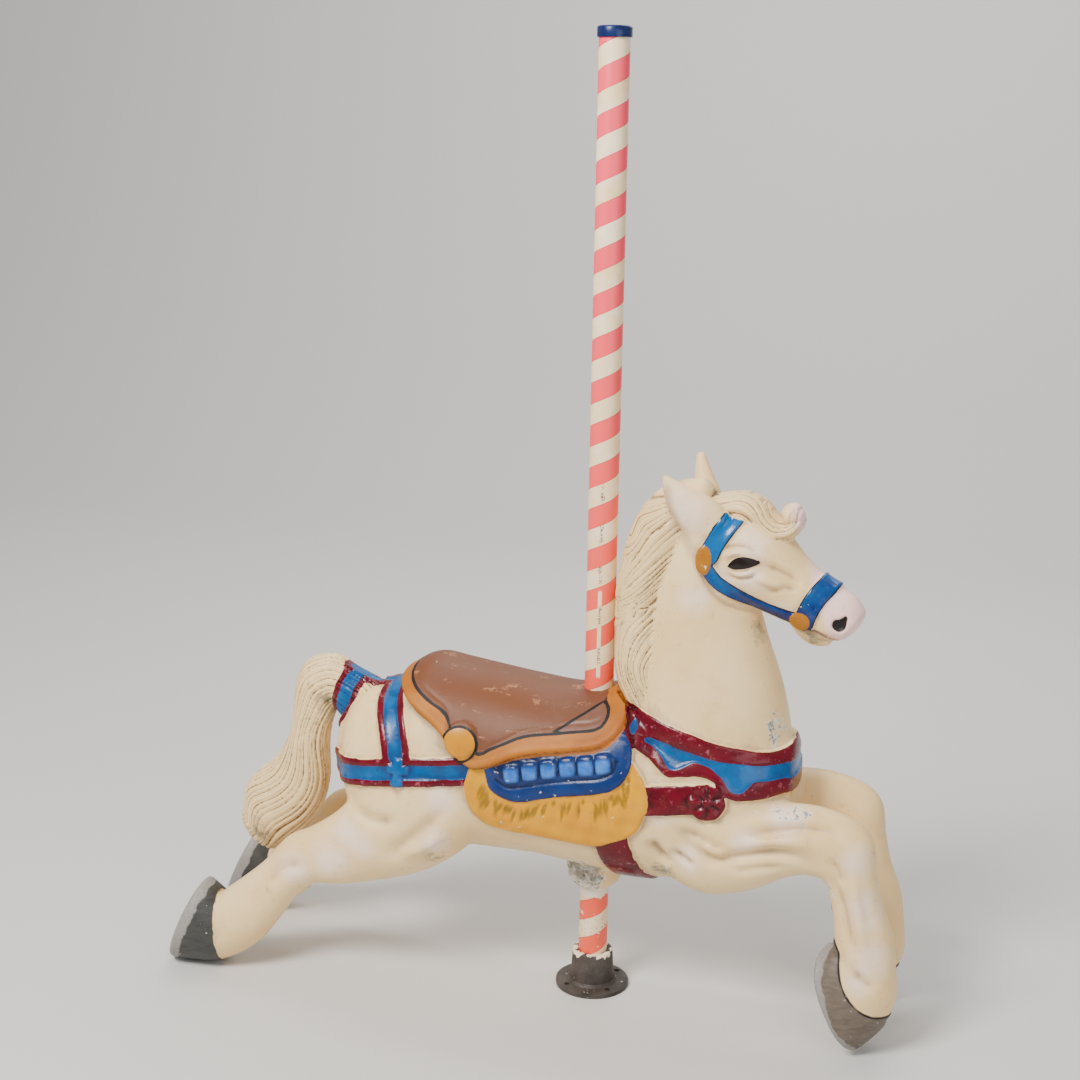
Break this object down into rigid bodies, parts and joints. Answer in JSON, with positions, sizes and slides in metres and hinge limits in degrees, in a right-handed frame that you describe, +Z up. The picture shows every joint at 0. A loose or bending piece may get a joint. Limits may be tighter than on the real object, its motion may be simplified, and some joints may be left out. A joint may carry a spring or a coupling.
{
  "type": "carousel horse",
  "caption": "Leaping carousel horse cast in metal with its saddle and harness, on a striped pole that stands in a round floor flange.",
  "frame": {"origin": "centre of the underside of the floor flange, on the axis of the pole", "axes": "+X the way the horse faces, +Y to the horse's left, +Z up along the pole"},
  "size_m": [1.2404, 0.342, 1.581],
  "materials": {
    "horse_paint": "worn gloss paint on a hollow metal casting",
    "pole_paint": "worn gloss paint in two colours",
    "cap_paint": "gloss",
    "flange_iron": "rough, with paint drips"
  },
  "bodies": {
    "root": {"horse": "horse_paint", "pole": "pole_paint", "pole_cap": "cap_paint", "floor_flange": "flange_iron"}
  },
  "joints": []
}
